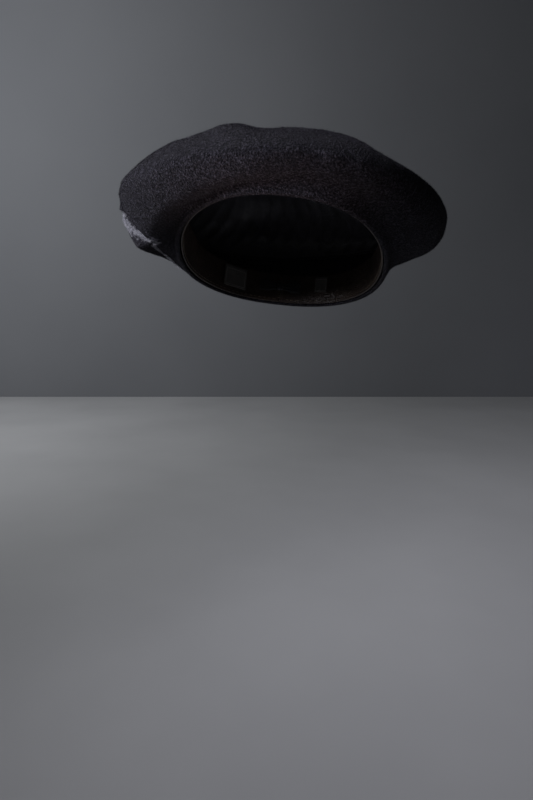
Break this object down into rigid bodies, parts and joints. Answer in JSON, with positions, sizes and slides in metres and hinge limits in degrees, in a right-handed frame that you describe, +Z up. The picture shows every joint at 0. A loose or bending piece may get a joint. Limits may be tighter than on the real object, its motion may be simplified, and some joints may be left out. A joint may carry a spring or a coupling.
{
  "type": "beret",
  "caption": "Soft round wool felt beret with a leather sweatband, satin lining, light wool inlay band and a small stalk on the crown.",
  "frame": {"origin": "centre of the head opening, in the plane of the rim, with the beret in the pose it has on a head", "axes": "+Z straight up as worn, -Y the wearer's front, +X the wearer's left; the rim's plane tips down 16 degrees to the back and 6 degrees to +X"},
  "size_m": [0.2503, 0.2585, 0.1351],
  "materials": {
    "felt": "dense fulled wool felt with a short brushed nap, charcoal",
    "light_wool": "light grey-white wool fibre, needled into the felt",
    "sweatband_leather": "soft smooth-grain sheepskin, semi-matt",
    "thread": "twisted sewing thread",
    "lining_satin": "satin weave with a soft sheen",
    "lining_piping": "satin-covered piping",
    "patch_weave": "plain woven patch, grey, blank",
    "label_tape": "woven label tape, grey, blank",
    "bow_ribbon": "ribbed grosgrain ribbon"
  },
  "bodies": {
    "beret": {"felt_crown": "felt", "white_wool_inlay": "light_wool", "leather_sweatband": "sweatband_leather", "sweatband_stitching": "thread", "lining_under_panel": "lining_satin", "lining_top_panel": "lining_satin", "lining_seam_piping": "lining_piping", "lining_patch": "patch_weave", "back_bow_left_loop": "bow_ribbon", "back_bow_right_loop": "bow_ribbon", "back_bow_knot": "bow_ribbon"},
    "stalk": {"crown_stalk": "felt"},
    "care_label": {"care_label": "label_tape"},
    "size_tab": {"size_tab": "label_tape"}
  },
  "joints": [
    {"name": "stalk_bend", "type": "hinge", "parent": "beret", "child": "stalk", "pos_m": [0, 0.01, 0.09692], "axis": [1, 0, 0], "range_deg": [-60, 60], "stiffness_Nm_per_rad": 0.0002},
    {"name": "care_label_flip", "type": "hinge", "parent": "beret", "child": "care_label", "pos_m": [-0.04016, 0.09109, 0.00529], "axis": [-0.8129, -0.5361, 0.2275], "range_deg": [0, 150]},
    {"name": "size_tab_flip", "type": "hinge", "parent": "beret", "child": "size_tab", "pos_m": [0.04134, 0.09412, -0.00415], "axis": [-0.9082, 0.4179, -0.0229], "range_deg": [0, 150]}
  ]
}
